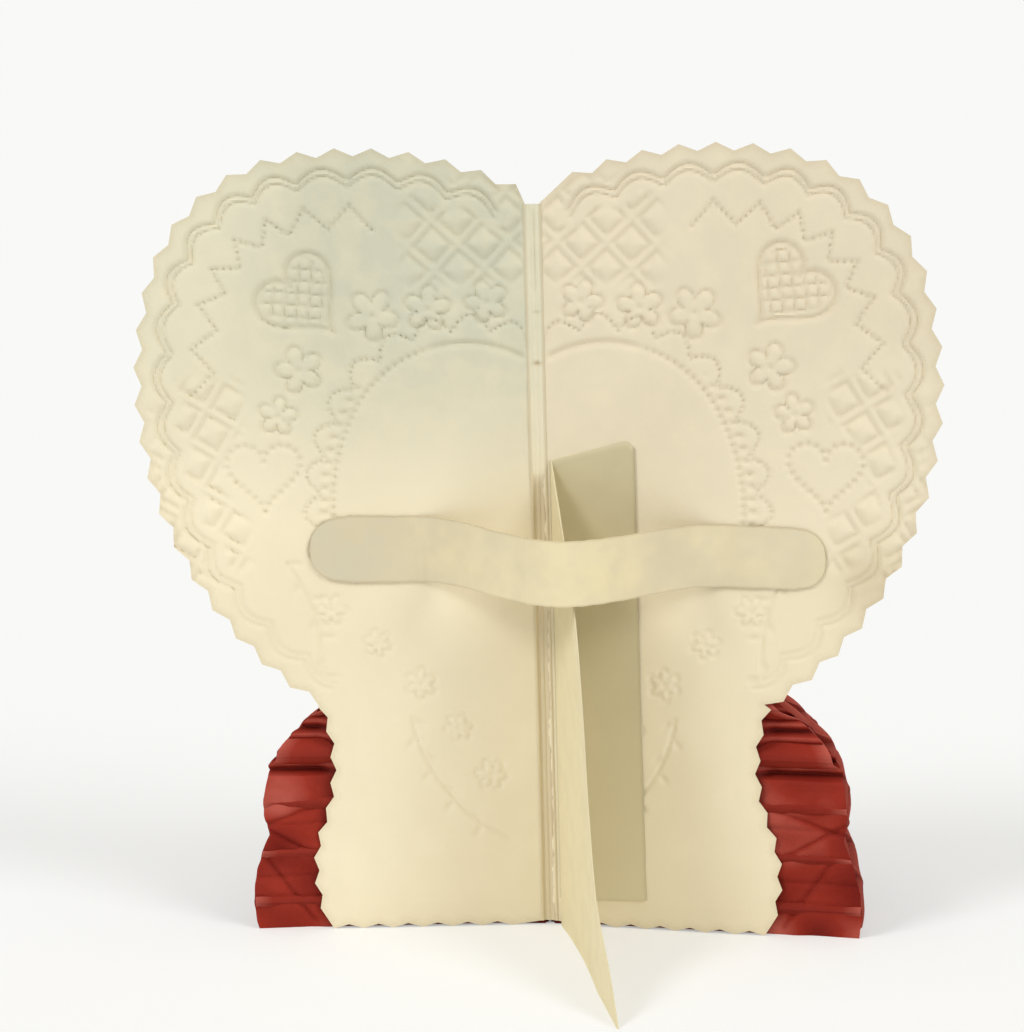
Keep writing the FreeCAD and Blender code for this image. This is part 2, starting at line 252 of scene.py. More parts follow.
def paperMaterial(name, light, dark, shade, cool, warm, mottle, grain=1.0, crumple=0.0, glow=0.0):
    material, tree = newMaterial(name)
    coordinates = addNode(tree, "ShaderNodeTexCoord").outputs["Object"]
    broad = noiseNode(tree, coordinates, GRAIN["broad"], 3.0)
    middle = noiseNode(tree, coordinates, GRAIN["middle"], 4.0)
    fine = noiseNode(tree, coordinates, GRAIN["fine"], 3.0)
    colour = mixNode(tree, rangeNode(tree, broad, 0.35, 0.68), light, dark)
    tint = addNode(tree, "ShaderNodeAttribute", attribute_name="tint").outputs["Fac"]
    colour = mixNode(tree, rangeNode(tree, tint, -1.0, 0.0, 1.0, 0.0), colour, cool)
    colour = mixNode(tree, rangeNode(tree, tint, 0.0, 1.0), colour, warm)
    colour = mixNode(tree, rangeNode(tree, middle, 0.42, 0.75, 0.0, mottle), colour, dark)
    # Two attributes darken towards the shade colour: one holds painted shade in recesses, creases and
    # hollows plus random blotches; the other holds real wear and stains plus painted shade along edges,
    # creases and hollows.
    pressed = addNode(tree, "ShaderNodeAttribute", attribute_name="shadeAndBlotches").outputs["Fac"]
    blotchAndShadeTone = GRAIN["blotchAndShadeTone"] + crumple
    colour = mixNode(tree, rangeNode(tree, pressed, 0.0, 1.0, 0.0, blotchAndShadeTone), colour, shade)
    wearAndShade = addNode(tree, "ShaderNodeAttribute", attribute_name="toned").outputs["Fac"]
    colour = mixNode(tree, rangeNode(tree, wearAndShade, 0.0, 1.0, 0.0, GRAIN["wearAndShadeTone"]), colour, shade)
    gloss = {"IOR": GRAIN["ior"], "Specular IOR Level": GRAIN["specular"]}
    shader = addNode(tree, "ShaderNodeBsdfPrincipled", gloss)
    tree.links.new(colour, shader.inputs["Base Color"])
    tree.links.new(rangeNode(tree, middle, 0.3, 0.7, *GRAIN["roughness"]), shader.inputs["Roughness"])
    fibres = mathNode(tree, "MULTIPLY", fine, GRAIN["fineShare"])
    height = mathNode(tree, "ADD", fibres, mathNode(tree, "MULTIPLY", middle, GRAIN["middleShare"]))
    depth = GRAIN["depth"] + GRAIN["crumpleDepth"] * crumple
    bump = addNode(tree, "ShaderNodeBump", {"Strength": GRAIN["bump"] * grain, "Distance": depth})
    tree.links.new(height, bump.inputs["Height"])
    tree.links.new(bump.outputs["Normal"], shader.inputs["Normal"])
    output = addNode(tree, "ShaderNodeOutputMaterial")
    if glow:
        through = addNode(tree, "ShaderNodeBsdfTranslucent")
        tree.links.new(colour, through.inputs["Color"])
        mix = addNode(tree, "ShaderNodeMixShader", {0: glow})
        tree.links.new(shader.outputs[0], mix.inputs[1])
        tree.links.new(through.outputs[0], mix.inputs[2])
        tree.links.new(mix.outputs[0], output.inputs["Surface"])
    else:
        tree.links.new(shader.outputs[0], output.inputs["Surface"])
    return material


PAPERS = {
    # cardStock: the cool and warm colours are real tints that also carry painted shade, darker towards the
    # top of the wings and spine.
    "cardStock": {
        "light": (246, 235, 204), "dark": (238, 226, 194), "shade": (182, 162, 122),
        "cool": (203, 203, 180), "warm": (215, 203, 179), "mottle": 0.4,
    },
    "strapPaper": {
        "light": (224, 213, 182), "dark": (213, 200, 167), "shade": (160, 138, 98),
        "cool": (209, 202, 176), "warm": (235, 221, 179), "mottle": 0.4,
    },
    # standCard: the cool colour paints the tab's shade, the warm colour the leg's lit face.
    "standCard": {
        "light": (226, 216, 181), "dark": (215, 204, 168), "shade": (150, 134, 94),
        "cool": (200, 189, 152), "warm": (234, 222, 184), "mottle": 0.35,
    },
    # redTissue: the warm colour paints highlights, the cool and shade colours paint shade in hollows and
    # between leaves.
    "redTissue": {
        "light": (184, 60, 42), "dark": (156, 42, 26), "shade": (84, 10, 6),
        "cool": (128, 24, 12), "warm": (216, 112, 96), "mottle": 0.3,
        "grain": 1.3, "crumple": 0.5, "glow": 0.3,
    },
}
materials = {}
for name, look in PAPERS.items():
    colours = {key: linear(*value) for key, value in look.items() if isinstance(value, tuple)}
    settings = {key: value for key, value in look.items() if not isinstance(value, tuple)}
    materials[name] = paperMaterial(name, **colours, **settings)

# Heart card: both wings, embossed right through the sheet
CARD = {
    "spineHalf": 2.2, "spineTall": 208.5, "fold": math.radians(7.0), "thickness": 0.42, "spacing": 0.66,
    "emboss": 0.9, "toothPitch": 10.6, "toothDeep": 2.3, "firstTooth": {1: 12.0, -1: 4.0},
    "width": {1: 0.985, -1: 0.976}, "lobeStart": (1.0, 211.9), "lobeHeading": 27.9,
    "lobe": ((112.0, -37.0), (51.0, -66.0), (110.0, -72.0)),
    "stemStart": (66.5, 66.0), "stemHeading": -112.0, "stem": ((45.0, 44.0), (40.0, -44.0)),
    "stemPitch": 7.8, "floorCorner": 64.0, "floorPitch": 8.8, "floorDeep": 1.2,
    "sheetWide": 114.4, "sheetTall": 226.2, "sheetStart": (-0.3, -0.4), "quickShare": 2.0,
    "backFace": -0.25, "frontLimit": 0.18,
}
# Real edge wear, clouds and a stain, and a cooler tone on the left wing and a warmer one on the right, both
# partly painted shade that darkens the upper wings.
WEAR_AND_SHADE = {
    "rim": 0.22, "rimWide": 1.0, "clouds": 0.08, "cloudWide": 30.0,
    "stain": 0.45, "stainPlace": (91, 104), "stainSize": (9, 11), "edgeGlow": 0.1, "glowWide": 14.0,
    "coolFrom": 105, "coolFull": 185, "coolLoss": 0.45, "warm": 0.55, "warmFrom": 60, "warmFull": 180,
}
RELIEF = {
    "scallop": 15.5, "outer": 5.6, "inner": 7.6, "cusp": 3.4, "zigzagOut": 16.0, "zigzagIn": 22.5,
    "panelStart": (4.0, 165.5), "panelHeading": 28.0, "panel": ((35.0, -90.0), (60.0, -42.0)),
    "latticeHeart": {1: (72.0, 185.0), -1: (65.5, 183.5)},
    "dottedHeart": {1: (81.5, 134.0), -1: (77.6, 134.0)},
    "flowers": ((13.5, 181.0, 6.2), (30.0, 179.5, 6.6), (45.5, 178.0, 7.4),
                (66.5, 163.0, 6.8), (73.0, 150.0, 5.6)),
    "rosettes": ((60.0, 94.0, 4.6), (47.0, 84.0, 4.2), (35.0, 72.0, 4.6),
                 (24.5, 59.0, 4.2), (15.5, 45.0, 4.6)),
    "zigzagFrom": (36, 156), "zigzagDots": (1.8, 0.62), "fade": (80, 120), "smoothTo": (26, 34),
    "beads": (2.2, 0.75), "bars": (3.6, 0.7), "barInset": -2.6, "barSquash": 0.6, "barFrom": (46, 52),
    "lobes": (10.0, -8.0, 4.6), "lobeDots": (1.7, 0.55), "heartDots": (2.4, 0.75),
    "flowerDepth": 0.75, "rosetteDepth": 0.4, "sprigDepth": 0.5,
    "sprigs": (((72.0, 108.0), -125.0, 40.0), ((38.0, 62.0), -100.0, -50.0)), "sprigLength": 50.0,
    "heartSize": (24.0, 23.0), "heartGrid": (20.0, 19.0), "heartTurn": -42, "gridPitch": 3.4, "gridTurn": 6,
    "dottedSize": (21.0, 19.0),
    "trellisPitch": 10.0, "notchTurn": 43, "notchPatch": (4.0, 34.0, 189.0, 213.0, 5.0),
    "sideTurn": 32, "sidePatch": (86.0, 106.0, 106.0, 158.0, 6.0),
    "swell": 0.35, "swellAcross": 34, "swellUp": 58, "wave": 0.12, "waveWide": 22.0,
}


def pinked(points, pitch, depth):
    path = resample(points, pitch / 2)
    return shifted(path, depth * (np.arange(len(path)) % 2))


def lobeRoute(skip):
    route = resample(arcRoute(CARD["lobeStart"], CARD["lobeHeading"], CARD["lobe"], 2.0), 1.0)
    return route[round(skip):]


def wingEdge(side):
    stem = arcRoute(CARD["stemStart"], CARD["stemHeading"], CARD["stem"], 2.0)
    corner = CARD["floorCorner"]
    floorLine = [(corner, 0.0), (corner - 6 * CARD["floorPitch"], 0.0)]
    edge = np.concatenate([
        pinked(lobeRoute(CARD["firstTooth"][side]), CARD["toothPitch"], CARD["toothDeep"]),
        pinked(stem[stem[:, 1] > 5.0], CARD["stemPitch"], CARD["toothDeep"] * 0.7),
        pinked(floorLine, CARD["floorPitch"], CARD["floorDeep"]),
    ]) * (CARD["width"][side], 1.0)
    hinge = CARD["spineHalf"]
    return np.concatenate([[(hinge, CARD["spineTall"])], edge, [(hinge, CARD["floorDeep"])]])


def polylineDistance(x, y, points, reach):
    best = np.full(x.shape, reach * 2.0)
    for (x1, y1), (x2, y2) in zip(points, points[1:]):
        dx, dy = x2 - x1, y2 - y1
        length = math.hypot(dx, dy)
        close = np.nonzero((x > min(x1, x2) - reach) & (x < max(x1, x2) + reach)
                           & (y > min(y1, y2) - reach) & (y < max(y1, y2) + reach))[0]
        if len(close) and length > 0:
            t = np.clip(((x[close] - x1) * dx + (y[close] - y1) * dy) / length ** 2, 0, 1)
            d = np.hypot(x[close] - x1 - t * dx, y[close] - y1 - t * dy)
            best[close] = np.minimum(best[close], d)
    return best


def scalloped(points, pitch, inset, depth):
    path = resample(points, 0.8)
    run = np.arange(len(path)) * 0.8
    return shifted(path, inset + depth * (1 - np.abs(np.sin(np.pi * run / pitch))))


def heartPath(x, y, wide, tall, turn):
    a = np.linspace(0, 2 * np.pi, 40)
    px = np.sin(a) ** 3 / 2 * wide
    py = (13 * np.cos(a) - 5 * np.cos(2 * a) - 2 * np.cos(3 * a) - np.cos(4 * a)) / 29 * tall
    c, s = math.cos(math.radians(turn)), math.sin(math.radians(turn))
    return np.stack([x + px * c - py * s, y + px * s + py * c], axis=1)


def insideHeart(x, y, cx, cy, wide, tall, turn):
    c, s = math.cos(math.radians(-turn)), math.sin(math.radians(-turn))
    px = ((x - cx) * c - (y - cy) * s) / wide * 2.3
    py = ((x - cx) * s + (y - cy) * c) / tall * 2.25 + 0.1
    return 1 - step((px ** 2 + py ** 2 - 1) ** 3 - px ** 2 * py ** 3, -0.05, 0.1)


def dots(x, y, points, spacing, radius):
    result = np.zeros(x.shape)
    for px, py in resample(points, spacing):
        close = np.nonzero((np.abs(x - px) < radius * 3) & (np.abs(y - py) < radius * 3))[0]
        result[close] = np.maximum(result[close], ridge(np.hypot(x[close] - px, y[close] - py), radius))
    return result


def line(x, y, points, width):
    return ridge(polylineDistance(x, y, points, width * 3 + 1), width)


def petals(x, y, cx, cy, radius, count, turn):
    angle = np.arctan2(y - cy, x - cx) - math.radians(turn)
    away = np.hypot(x - cx, y - cy) / radius
    rim = 0.42 + 0.58 * np.abs(np.cos(angle * count / 2)) ** 0.7
    outline = ridge((away - rim) * radius, 0.65)
    swollen = 1 - step(away, rim - 0.3, rim - 0.1)
    return 0.9 * outline - 0.5 * swollen + ridge(away * radius, 0.8)


def turned(x, y, turn):
    c, s = math.cos(math.radians(turn)), math.sin(math.radians(turn))
    return x * c + y * s, y * c - x * s


def gridLines(x, y, pitch, turn, width):
    a, b = turned(x, y, turn)
    away = [np.abs(value - pitch * np.round(value / pitch)) for value in (a, b)]
    return ridge(np.minimum(*away), width)


def trellis(x, y, pitch, turn):
    a, b = turned(x, y, turn)
    away = np.minimum(*[np.abs(value - pitch * np.round(value / pitch)) for value in (a, b)])
    return 0.75 * ridge(away - 1.4, 0.75) - 0.5 * step(away, 1.8, pitch * 0.45)


def boxMask(x, y, left, right, low, high, soft):
    return (step(x, left - soft, left) * (1 - step(x, right, right + soft))
            * step(y, low - soft, low) * (1 - step(y, high, high + soft)))


def borderRelief(x, y, side):
    base = lobeRoute(6.0) * (CARD["width"][side], 1.0)
    outer = scalloped(base, RELIEF["scallop"], RELIEF["outer"], RELIEF["cusp"])
    inner = scalloped(base, RELIEF["scallop"], RELIEF["inner"], RELIEF["cusp"])
    turns = resample(base, RELIEF["scallop"] / 2)
    inset = np.where(np.arange(len(turns)) % 2, RELIEF["zigzagIn"], RELIEF["zigzagOut"])
    fromX, fromY = RELIEF["zigzagFrom"]
    zigzagLine = shifted(turns, inset)[(turns[:, 0] > fromX) & (turns[:, 1] > fromY)]
    fade = 0.45 + 0.55 * step(y, *RELIEF["fade"])
    border = np.maximum(line(x, y, outer, 0.6), 0.85 * line(x, y, inner, 0.5)) * fade
    return np.maximum(border, dots(x, y, zigzagLine, *RELIEF["zigzagDots"])), inner


def panelRelief(x, y):
    panel = arcRoute(RELIEF["panelStart"], RELIEF["panelHeading"], RELIEF["panel"], 2.0)
    nearSpine = 1 - step(x, *RELIEF["smoothTo"])
    smoothEdge = 0.9 * line(x, y, panel, 0.9) * nearSpine
    beads = dots(x, y, panel, *RELIEF["beads"]) * (1 - nearSpine)
    squash = RELIEF["barSquash"]
    barLine = shifted(panel, np.full(len(panel), RELIEF["barInset"])) * (squash, 1.0)
    bars = dots(x * squash, y, barLine, *RELIEF["bars"]) * step(x, *RELIEF["barFrom"])
    lobes = dots(x, y, scalloped(panel, *RELIEF["lobes"]), *RELIEF["lobeDots"])
    return np.maximum.reduce([smoothEdge, beads, bars, lobes])


def sprigs(x, y):
    faint = np.zeros(x.shape)
    for start, heading, turn in RELIEF["sprigs"]:
        stem = arcRoute(start, heading, ((RELIEF["sprigLength"], turn),), 2.0)
        faint = np.maximum(faint, line(x, y, stem, 0.45))
        for k, (px, py) in enumerate(resample(stem, 5.5)):
            a, b = turned(x - px, y - py, heading + (50 if k % 2 else -50))
            faint = np.maximum(faint, ridge(np.hypot((a - 2.6) / 2.4, b), 0.75))
    return RELIEF["sprigDepth"] * faint


def relief(x, y, side):
    border, inner = borderRelief(x, y, side)
    heartX, heartY = RELIEF["latticeHeart"][side]
    dottedX, dottedY = RELIEF["dottedHeart"][side]
    turn = RELIEF["heartTurn"]
    heart = line(x, y, heartPath(heartX, heartY, *RELIEF["heartSize"], turn), 0.8)
    grid = gridLines(x, y, RELIEF["gridPitch"], RELIEF["gridTurn"], 0.5)
    grid = grid * insideHeart(x, y, heartX, heartY, *RELIEF["heartGrid"], turn)
    dotted = dots(x, y, heartPath(dottedX, dottedY, *RELIEF["dottedSize"], 0), *RELIEF["heartDots"])
    layers = [border, panelRelief(x, y), heart, 0.8 * grid, dotted, sprigs(x, y)]
    pressed = np.maximum.reduce(layers)
    for k, (cx, cy, radius) in enumerate(RELIEF["flowers"]):
        pressed = pressed + RELIEF["flowerDepth"] * petals(x, y, cx, cy, radius, 5, 25 * k)
    for k, (cx, cy, radius) in enumerate(RELIEF["rosettes"]):
        pressed = pressed + RELIEF["rosetteDepth"] * petals(x, y, cx, cy, radius, 6, 17 * k)
    clear = step(np.floor(polylineDistance(x, y, inner, 6)), 2.0, 4.0)
    notchPatch = boxMask(x, y, *RELIEF["notchPatch"]) * clear
    sidePatch = boxMask(x, y, *RELIEF["sidePatch"]) * clear
    sidePatch *= step(np.hypot(x - dottedX, y - dottedY), 11.0, 14.0)
    pitch = RELIEF["trellisPitch"]
    pressed = pressed + notchPatch * trellis(x, y, pitch, RELIEF["notchTurn"])
    pressed = pressed + sidePatch * trellis(x, y, pitch, RELIEF["sideTurn"])
    return np.clip(pressed, -0.5, 1.1)


def wingWarp(x, y, side):
    swell = RELIEF["swell"] * np.sin(x / RELIEF["swellAcross"] + 0.6 * side) * np.sin(y / RELIEF["swellUp"])
    wave = RELIEF["wave"] * noise2(x, y, 5 + side, RELIEF["waveWide"])
    return (swell + wave) * step(x, 4, 26)


def outlineCutter(edge):
    deselect()
    bpy.ops.mesh.primitive_circle_add(vertices=len(edge), radius=1, fill_type="NGON")
    cutter = bpy.context.object
    editAll(cutter, bpy.ops.mesh.extrude_region_move, TRANSFORM_OT_translate={"value": (0, 0, 1)})
    ring = readPoints(cutter)
    shaped = np.zeros(ring.shape)
    for top in (False, True):
        index = np.nonzero((ring[:, 2] > 0.5) == top)[0]
        angle = np.arctan2(ring[index, 1], ring[index, 0]) % (2 * np.pi)
        order = index[np.argsort(angle)]
        shaped[order, 0] = edge[:, 0]
        shaped[order, 2] = edge[:, 1]
        shaped[order, 1] = -2.0 if top else 2.0
    writePoints(cutter, shaped)
    editAll(cutter, bpy.ops.mesh.normals_make_consistent, inside=False)
    return cutter


def makeWing(side):
    spacing = CARD["spacing"] * 1.0
    sheet = addGrid("heartCardRight" if side > 0 else "heartCardLeft",
                    int(CARD["sheetWide"] / spacing), int(CARD["sheetTall"] / spacing))
    editAll(sheet, bpy.ops.mesh.extrude_region_move, TRANSFORM_OT_translate={"value": (0, 0, 1)})
    points = readPoints(sheet)
    wide = (points[:, 0] + 0.5) * CARD["sheetWide"] + CARD["sheetStart"][0]
    tall = (points[:, 1] + 0.5) * CARD["sheetTall"] + CARD["sheetStart"][1]
    writePoints(sheet, np.stack([wide, -CARD["thickness"] * np.round(points[:, 2]), tall], axis=1))
    editAll(sheet, bpy.ops.mesh.normals_make_consistent, inside=False)
    edge = wingEdge(side)
    cutter = outlineCutter(edge - (CARD["spineHalf"], 0.0))
    cut = sheet.modifiers.new("Outline", "BOOLEAN")
    cut.operation = "INTERSECT"
    cut.solver = "EXACT"
    cut.object = cutter
    applyModifiers(sheet)
    bpy.data.objects.remove(cutter)
    x, y, z = readPoints(sheet).T
    along = x + CARD["spineHalf"]
    pressed = relief(along, z, side)
    # Painted shade: the pressed grooves on the back face are darkened in colour.
    writeAttribute(sheet, "shadeAndBlotches", np.clip(pressed, 0, 1) * (y < -CARD["thickness"] / 2))
    rim = np.floor(polylineDistance(along, z, edge, 6))
    toned = WEAR_AND_SHADE["rim"] * ridge(rim, WEAR_AND_SHADE["rimWide"])
    toned = toned + WEAR_AND_SHADE["clouds"] * np.clip(noise2(x, z, 11 + side, WEAR_AND_SHADE["cloudWide"]), 0, 1)
    if side > 0:
        (stainX, stainZ), (stainWide, stainTall) = WEAR_AND_SHADE["stainPlace"], WEAR_AND_SHADE["stainSize"]
        spread = ((x - stainX) / stainWide) ** 2 + ((z - stainZ) / stainTall) ** 2
        toned = toned + WEAR_AND_SHADE["stain"] * np.exp(-spread)
    writeAttribute(sheet, "toned", np.clip(toned, 0, 1))
    edgeGlow = WEAR_AND_SHADE["edgeGlow"] * ridge(rim, WEAR_AND_SHADE["glowWide"])
    # Partly painted shade: the upper left wing is tinted cooler and darker, the upper right wing warmer and
    # darker.
    cool = -step(z, WEAR_AND_SHADE["coolFrom"], WEAR_AND_SHADE["coolFull"]) * (1 - WEAR_AND_SHADE["coolLoss"] * step(x, 50, 95))
    tint = cool if side < 0 else WEAR_AND_SHADE["warm"] * step(z, WEAR_AND_SHADE["warmFrom"], WEAR_AND_SHADE["warmFull"])
    writeAttribute(sheet, "tint", np.clip(tint + edgeGlow, -1, 1))
    sunk = CARD["emboss"] * pressed * step(x, 0.0, 2.0)
    y = np.minimum(y + sunk + CARD["backFace"] + wingWarp(x, z, side), CARD["frontLimit"])
    fold = CARD["fold"]
    across = CARD["spineHalf"] + x * math.cos(fold) + y * math.sin(fold)
    placePoints(sheet, across * side, y * math.cos(fold) - x * math.sin(fold), z)
    if side < 0:
        editAll(sheet, bpy.ops.mesh.flip_normals)
    smooth(sheet, 50)
    sheet.data.materials.append(materials["cardStock"])
    return sheet


# Each crease is its place across the strip, its width, its height and the seed of its wander;
# each nick is its place, its size and its strength
SPINE = {
    "wide": 4.8, "tall": 207.0, "foot": 1.2, "back": -0.52, "thickness": 0.25,
    "creases": ((-2.1, 0.35, -0.28, 1), (-0.9, 0.3, 0.22, 2), (0.35, 0.28, 0.2, 4),
                (1.3, 0.3, -0.16, 6), (2.1, 0.35, -0.26, 7)),
    "tornTop": (128.0, 134.0), "tornRight": 1.5, "tornDeep": 0.35, "wedge": (184.0, 206.0), "wedgeDeep": 0.2,
    "nicks": ((0.4, 163.6, 1.4, 0.7, 1.0), (0.6, 178.0, 1.2, 0.5, 0.5)), "nickDeep": 0.25, "cool": -0.6,
}


def makeSpine():
    strip = addGrid("heartCardSpine", 26, 330)
    points = readPoints(strip)
    x = points[:, 0] * SPINE["wide"]
    z = (points[:, 1] + 0.5) * SPINE["tall"] + SPINE["foot"]
    lean = 0.25 * noise1(z, 3, 24.0)
    creases = 0.0
    for place, width, height, seed in SPINE["creases"]:
        creases = creases + height * ridge(x - place - 0.15 * noise1(z, seed, 15.0), width)
    low = 1 - step(z, *SPINE["tornTop"])
    torn = SPINE["tornRight"] + 0.45 * noise1(z, 8, 4.0) + 0.25 * noise1(z, 9, 1.4)
    recess = SPINE["tornDeep"] * low * step(x, -1.9, -1.6) * (1 - step(x, torn, torn + 0.25))
    wedge = boxMask(x, z, -0.5 + lean, 0.6 + lean, *SPINE["wedge"], 0.4)
    nick = 0.0
    for nickX, nickZ, wide, tall, strength in SPINE["nicks"]:
        nick = nick + strength * ridge(np.hypot((x - nickX) / wide, (z - nickZ) / tall), 0.8)
    y = SPINE["back"] + creases + recess + SPINE["wedgeDeep"] * wedge + SPINE["nickDeep"] * nick
    y = y + 0.05 * noise2(x, z, 12, 3.0)
    # Painted shade: the upper spine is tinted cooler and darker like the left wing, and the torn recess, the
    # wedge, the nicks and the crease lines along both edges of the strip are darkened in colour.
    writeAttribute(strip, "tint", SPINE["cool"] * step(z, WEAR_AND_SHADE["coolFrom"], WEAR_AND_SHADE["coolFull"]))
    writeAttribute(strip, "shadeAndBlotches", np.clip(0.9 * low * (recess > 0.1) + 0.8 * wedge + nick, 0, 1))
    toned = 0.5 * low * (recess > 0.1) + 1.2 * nick
    toned = toned + 0.55 * ridge(np.abs(x) - CARD["spineHalf"], 0.35)
    writeAttribute(strip, "toned", np.clip(toned, 0, 1))
    placePoints(strip, x, y, z)
    thicken(strip, SPINE["thickness"] * MM, 1.0)
    smooth(strip, 60)
    strip.data.materials.append(materials["cardStock"])
    return strip


cardPieces = [makeWing(1), makeWing(-1), makeSpine()]
for piece in cardPieces:
    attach(piece, "root")
    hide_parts("heart_card")
print("heart card made", [triangleCount(piece) for piece in cardPieces])

# Back strap: a band that follows the wings and arches over the leg
STRAP = {
    "thickness": 0.42, "left": -65.0, "right": 81.0, "leftShoulder": -54.5, "rightShoulder": 73.2,
    "rise": 34.6, "top": 8.5, "span": 44.0, "gap": 1.0, "middle": 111.8, "half": 9.6, "droop": 2.2,
    "creases": (-33.0, 0.0), "creaseDeep": 0.3, "rows": 26, "narrowing": 0.95, "tabInset": 0.35,
    "warm": 0.8, "warmWide": 26.0, "cool": 0.5, "coolPlace": (30, 60), "edgeShade": 0.35, "tabEndShade": 0.5,
}


def makeStrap():
    x = np.linspace(STRAP["left"], STRAP["right"], 240)
    wing = np.maximum(np.abs(x) - CARD["spineHalf"], 0) * math.tan(CARD["fold"]) + STRAP["gap"]
    away = np.clip((x - STRAP["top"]) / STRAP["span"], -1, 1)
    path = resample(np.stack([x, -wing - STRAP["rise"] * np.cos(np.pi / 2 * away) ** 2], axis=1), 0.7)
    strap = addGrid("backStrap", len(path) - 1, STRAP["rows"])
    points = readPoints(strap)
    column = np.clip(np.round((points[:, 0] + 0.5) * (len(path) - 1)).astype(int), 0, len(path) - 1)
    x, y = path[column].T
    across = points[:, 1] * 2
    share = np.clip((x - STRAP["leftShoulder"]) / (STRAP["rightShoulder"] - STRAP["leftShoulder"]), 0, 1)
    middle = STRAP["middle"] - STRAP["droop"] * share
    half = STRAP["half"] - STRAP["narrowing"] * share
    tabLeft = (STRAP["leftShoulder"] - x) / (STRAP["leftShoulder"] - STRAP["left"])
    tabRight = (x - STRAP["rightShoulder"]) / (STRAP["right"] - STRAP["rightShoulder"])
    tab = np.clip(np.maximum(tabLeft, tabRight), 0, 1)
    rounding = np.sqrt(np.clip(1 - tab ** 2.4, 0.0004, 1))
    half = np.where(tab > 0, (half - STRAP["tabInset"]) * rounding, half)
    fray = 0.1 * noise1(x, 21, 1.3) + 0.08 * noise1(x, 22, 5.0)
    z = middle + across * half + fray * np.abs(across) ** 8
    for place in STRAP["creases"]:
        y = y - STRAP["creaseDeep"] * ridge(x - place, 0.6)
    y = y - 0.06 * noise2(x, z, 24, 7.0) * (np.abs(x - STRAP["top"]) < 40)
    warm = STRAP["warm"] * ridge(x - STRAP["top"], STRAP["warmWide"])
    cool = STRAP["cool"] * step(-x, *STRAP["coolPlace"])
    tint = warm - cool + 0.45 * noise2(x, z, 25, 9.0) + 0.2 * noise2(x, z, 26, 3.0)
    writeAttribute(strap, "tint", tint)
    writeAttribute(strap, "shadeAndBlotches", np.zeros(len(x)))
    # Painted shade: a dark outline along both long edges and at the tab ends.
    toned = STRAP["edgeShade"] * step(np.abs(across), 0.95, 1.0) + STRAP["tabEndShade"] * step(tab, 0.93, 1.0)
    writeAttribute(strap, "toned", np.clip(toned, 0, 1))
    placePoints(strap, x, y, z)
    thicken(strap, STRAP["thickness"] * MM)
    smooth(strap, 50)
    strap.data.materials.append(materials["strapPaper"])
    return strap


strap = makeStrap()
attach(strap, "root")
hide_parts("back_strap")
print("strap made", triangleCount(strap))

# Easel stand: glued tab and folded leg
STAND = {
    "thickness": 0.45, "yaw": math.radians(16.0), "line": 3.4, "top": 136.0, "reach": 91.3,
    "tabFoot": 8.2, "tabWide": 28.9, "tabNarrow": 27.7, "tabPeak": 142.3, "tabSlope": 0.5,
    "narrowAt": 120.0, "tabCorner": 2.2, "tabBack": -0.95, "tabPaintedShade": -0.9, "tabRim": 0.7,
    "foot": ((0.0, 0.0), (12.0, 11.5), (32.0, 26.0), (44.5, 49.0),
             (50.5, 76.0), (59.5, 102.0), (90.0, 134.5)),
    "bow": 0.9, "bowReach": 60, "crease": (0.3, -1.1), "legPaintedLight": 0.9,
}


def makeTab():
    tab = addGrid("easelTab", 30, 150)
    points = readPoints(tab)
    across = points[:, 0] + 0.5
    low = STAND["tabFoot"] + across * STAND["tabSlope"]
    high = STAND["top"] + across * (STAND["tabPeak"] - STAND["top"])
    high = high - STAND["tabCorner"] * step(across, 0.9, 1.0)
    z = low + (high - low) * (points[:, 1] + 0.5)
    right = np.interp(z, [STAND["tabFoot"], STAND["narrowAt"]], [STAND["tabWide"], STAND["tabNarrow"]])
    u = STAND["line"] + (right - STAND["line"]) * across + 0.12 * noise1(z, 31, 6.0) * (across > 0.97)
    x = u - CARD["spineHalf"]
    y = STAND["tabBack"] - 0.05 * noise2(u, z, 32, 9.0)
    fold = CARD["fold"]
    # Painted shade: the tab, shaded by the leg, is tinted cooler and darker, most of all towards its top.
    tint = STAND["tabPaintedShade"] * step(z, -20, 110) + STAND["tabRim"] * ridge(z - high, 0.8)
    writeAttribute(tab, "tint", tint)
    writeAttribute(tab, "shadeAndBlotches", 0.3 * np.clip(noise2(u, z, 33, 16.0), 0, 1))
    writeAttribute(tab, "toned", 0.3 * ridge(across - 1, 0.02))
    placePoints(tab, CARD["spineHalf"] + x * math.cos(fold) + y * math.sin(fold),
                y * math.cos(fold) - x * math.sin(fold), z)
    thicken(tab, STAND["thickness"] * MM)
    smooth(tab, 50)
    tab.data.materials.append(materials["standCard"])
    return tab


